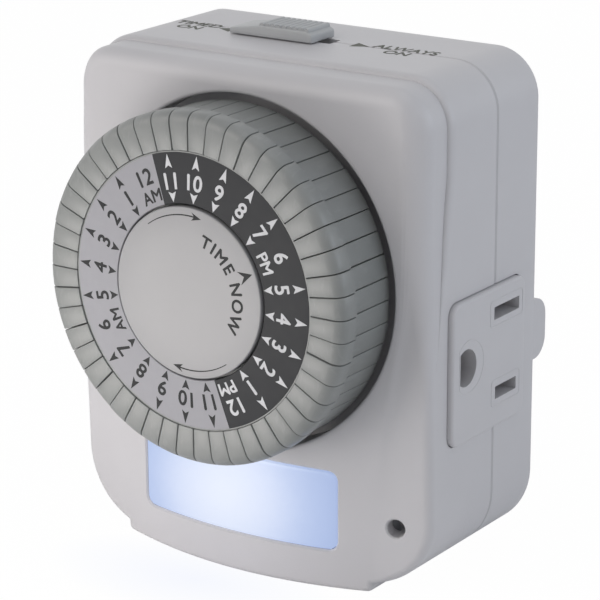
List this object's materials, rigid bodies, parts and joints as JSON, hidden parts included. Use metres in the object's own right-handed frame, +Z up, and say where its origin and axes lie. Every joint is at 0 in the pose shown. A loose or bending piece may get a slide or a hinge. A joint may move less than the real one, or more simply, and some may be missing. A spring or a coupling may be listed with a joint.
{
  "type": "plug-in timer switch",
  "caption": "Plug-in 24-hour mechanical timer: ring of push-in tappets round a turning number dial, top mode slide, side grounded outlet, night-light window and wall plug.",
  "frame": {"origin": "centre of the plug's rear face on the wall plane, midway between the two flat blades", "axes": "+Y back into the wall along the blades, +X towards the side outlet, +Z up"},
  "size_m": [0.066, 0.0699, 0.0822],
  "materials": {
    "casing": "fine satin moulded ABS",
    "outlet_white": "fine satin moulded ABS",
    "screw_steel": "zinc plated",
    "night_light_lens": "translucent frosted, lit from behind",
    "circuit_board": "solder resist",
    "lamp": "clear epoxy",
    "capacitor_film": "dipped film",
    "tappet_grey": "satin moulded",
    "number_print": "printed, one half light and one half dark grey",
    "pointer_white": "satin moulded, printed",
    "arbor_steel": "turned",
    "gear_acetal": "natural acetal",
    "works_plate_abs": "moulded",
    "motor_zinc": "zinc plated can",
    "coil_copper": "enamelled copper winding",
    "switch_phenolic": "moulded",
    "contact_brass": "rolled brass"
  },
  "bodies": {
    "housing": {"front_casing": "casing", "rear_casing": "casing", "case_screws": "screw_steel", "window_lens": "night_light_lens", "lamp_board": "circuit_board", "lamps": "lamp", "dropper_capacitor": "capacitor_film", "light_sensor": "lamp", "pointer_disc": "pointer_white", "spindle": "arbor_steel", "intermediate_arbor": "arbor_steel", "works_plate": "works_plate_abs", "plate_screws": "screw_steel", "motor_can": "motor_zinc", "motor_coil": "coil_copper", "lever_pin": "arbor_steel", "switch_body": "switch_phenolic", "contact_blade": "contact_brass", "outlet_plate": "outlet_white", "plug_blade_hot": "contact_brass", "plug_blade_neutral": "contact_brass", "ground_pin": "contact_brass", "neutral_contact": "contact_brass", "hot_feed_strip": "contact_brass", "hot_outlet_contact": "contact_brass", "ground_contact": "contact_brass"},
    "dial": {"drum": "tappet_grey", "number_ring": "number_print", "dial_gear": "gear_acetal"},
    "intermediate": {"intermediate_wheel": "gear_acetal"},
    "motor_output": {"motor_shaft": "arbor_steel", "motor_pinion": "gear_acetal"},
    "follower": {"follower_lever": "gear_acetal"},
    "plunger": {"switch_plunger": "switch_phenolic"},
    "mode_switch": {"mode_button": "tappet_grey", "mode_slider": "gear_acetal"},
    "tappet_pair_00": {"tappets_00": "tappet_grey"},
    "tappet_pair_01": {"tappets_01": "tappet_grey"},
    "tappet_pair_02": {"tappets_02": "tappet_grey"},
    "tappet_pair_03": {"tappets_03": "tappet_grey"},
    "tappet_pair_04": {"tappets_04": "tappet_grey"},
    "tappet_pair_05": {"tappets_05": "tappet_grey"},
    "tappet_pair_06": {"tappets_06": "tappet_grey"},
    "tappet_pair_07": {"tappets_07": "tappet_grey"},
    "tappet_pair_08": {"tappets_08": "tappet_grey"},
    "tappet_pair_09": {"tappets_09": "tappet_grey"},
    "tappet_pair_10": {"tappets_10": "tappet_grey"},
    "tappet_pair_11": {"tappets_11": "tappet_grey"},
    "tappet_pair_12": {"tappets_12": "tappet_grey"},
    "tappet_pair_13": {"tappets_13": "tappet_grey"},
    "tappet_pair_14": {"tappets_14": "tappet_grey"},
    "tappet_pair_15": {"tappets_15": "tappet_grey"},
    "tappet_pair_16": {"tappets_16": "tappet_grey"},
    "tappet_pair_17": {"tappets_17": "tappet_grey"},
    "tappet_pair_18": {"tappets_18": "tappet_grey"},
    "tappet_pair_19": {"tappets_19": "tappet_grey"},
    "tappet_pair_20": {"tappets_20": "tappet_grey"},
    "tappet_pair_21": {"tappets_21": "tappet_grey"},
    "tappet_pair_22": {"tappets_22": "tappet_grey"},
    "tappet_pair_23": {"tappets_23": "tappet_grey"}
  },
  "joints": [
    {"name": "dial_spin", "type": "hinge", "parent": "housing", "child": "dial", "pos_m": [0, 0, 0.006], "axis": [0, 1, 0], "continuous": true},
    {"name": "intermediate_spin", "type": "hinge", "parent": "housing", "child": "intermediate", "pos_m": [-0.0135, 0, 0.02209], "axis": [0, 1, 0], "continuous": true},
    {"name": "motor_spin", "type": "hinge", "parent": "housing", "child": "motor_output", "pos_m": [-0.00267, 0, 0.01584], "axis": [0, 1, 0], "continuous": true},
    {"name": "follower_swing", "type": "hinge", "parent": "housing", "child": "follower", "pos_m": [-0.01646, -0.0182, -0.02176], "axis": [-1, 0, 0], "range_deg": [0, 10], "stiffness_Nm_per_rad": 0.02, "springref_deg": -8.59},
    {"name": "plunger_press", "type": "slide", "parent": "housing", "child": "plunger", "axis": [0, 1, 0], "range_m": [0, 0.0012]},
    {"name": "mode_slide", "type": "slide", "parent": "housing", "child": "mode_switch", "axis": [1, 0, 0], "range_m": [0, 0.005]},
    {"name": "tappet_push_00", "type": "slide", "parent": "dial", "child": "tappet_pair_00", "axis": [0, 1, 0], "range_m": [0, 0.003]},
    {"name": "tappet_push_01", "type": "slide", "parent": "dial", "child": "tappet_pair_01", "axis": [0, 1, 0], "range_m": [0, 0.003]},
    {"name": "tappet_push_02", "type": "slide", "parent": "dial", "child": "tappet_pair_02", "axis": [0, 1, 0], "range_m": [0, 0.003]},
    {"name": "tappet_push_03", "type": "slide", "parent": "dial", "child": "tappet_pair_03", "axis": [0, 1, 0], "range_m": [0, 0.003]},
    {"name": "tappet_push_04", "type": "slide", "parent": "dial", "child": "tappet_pair_04", "axis": [0, 1, 0], "range_m": [0, 0.003]},
    {"name": "tappet_push_05", "type": "slide", "parent": "dial", "child": "tappet_pair_05", "axis": [0, 1, 0], "range_m": [0, 0.003]},
    {"name": "tappet_push_06", "type": "slide", "parent": "dial", "child": "tappet_pair_06", "axis": [0, 1, 0], "range_m": [0, 0.003]},
    {"name": "tappet_push_07", "type": "slide", "parent": "dial", "child": "tappet_pair_07", "axis": [0, 1, 0], "range_m": [0, 0.003]},
    {"name": "tappet_push_08", "type": "slide", "parent": "dial", "child": "tappet_pair_08", "axis": [0, 1, 0], "range_m": [0, 0.003]},
    {"name": "tappet_push_09", "type": "slide", "parent": "dial", "child": "tappet_pair_09", "axis": [0, 1, 0], "range_m": [0, 0.003]},
    {"name": "tappet_push_10", "type": "slide", "parent": "dial", "child": "tappet_pair_10", "axis": [0, 1, 0], "range_m": [0, 0.003]},
    {"name": "tappet_push_11", "type": "slide", "parent": "dial", "child": "tappet_pair_11", "axis": [0, 1, 0], "range_m": [0, 0.003]},
    {"name": "tappet_push_12", "type": "slide", "parent": "dial", "child": "tappet_pair_12", "axis": [0, 1, 0], "range_m": [0, 0.003]},
    {"name": "tappet_push_13", "type": "slide", "parent": "dial", "child": "tappet_pair_13", "axis": [0, 1, 0], "range_m": [0, 0.003]},
    {"name": "tappet_push_14", "type": "slide", "parent": "dial", "child": "tappet_pair_14", "axis": [0, 1, 0], "range_m": [0, 0.003]},
    {"name": "tappet_push_15", "type": "slide", "parent": "dial", "child": "tappet_pair_15", "axis": [0, 1, 0], "range_m": [0, 0.003]},
    {"name": "tappet_push_16", "type": "slide", "parent": "dial", "child": "tappet_pair_16", "axis": [0, 1, 0], "range_m": [0, 0.003]},
    {"name": "tappet_push_17", "type": "slide", "parent": "dial", "child": "tappet_pair_17", "axis": [0, 1, 0], "range_m": [0, 0.003]},
    {"name": "tappet_push_18", "type": "slide", "parent": "dial", "child": "tappet_pair_18", "axis": [0, 1, 0], "range_m": [0, 0.003]},
    {"name": "tappet_push_19", "type": "slide", "parent": "dial", "child": "tappet_pair_19", "axis": [0, 1, 0], "range_m": [0, 0.003]},
    {"name": "tappet_push_20", "type": "slide", "parent": "dial", "child": "tappet_pair_20", "axis": [0, 1, 0], "range_m": [0, 0.003]},
    {"name": "tappet_push_21", "type": "slide", "parent": "dial", "child": "tappet_pair_21", "axis": [0, 1, 0], "range_m": [0, 0.003]},
    {"name": "tappet_push_22", "type": "slide", "parent": "dial", "child": "tappet_pair_22", "axis": [0, 1, 0], "range_m": [0, 0.003]},
    {"name": "tappet_push_23", "type": "slide", "parent": "dial", "child": "tappet_pair_23", "axis": [0, 1, 0], "range_m": [0, 0.003]}
  ],
  "couplings": [
    {"joint": "intermediate_spin", "follows": "dial_spin", "ratio": -6},
    {"joint": "motor_spin", "follows": "dial_spin", "ratio": 24},
    {"joint": "plunger_press", "follows": "follower_swing", "m_per_rad": 0.0067}
  ]
}
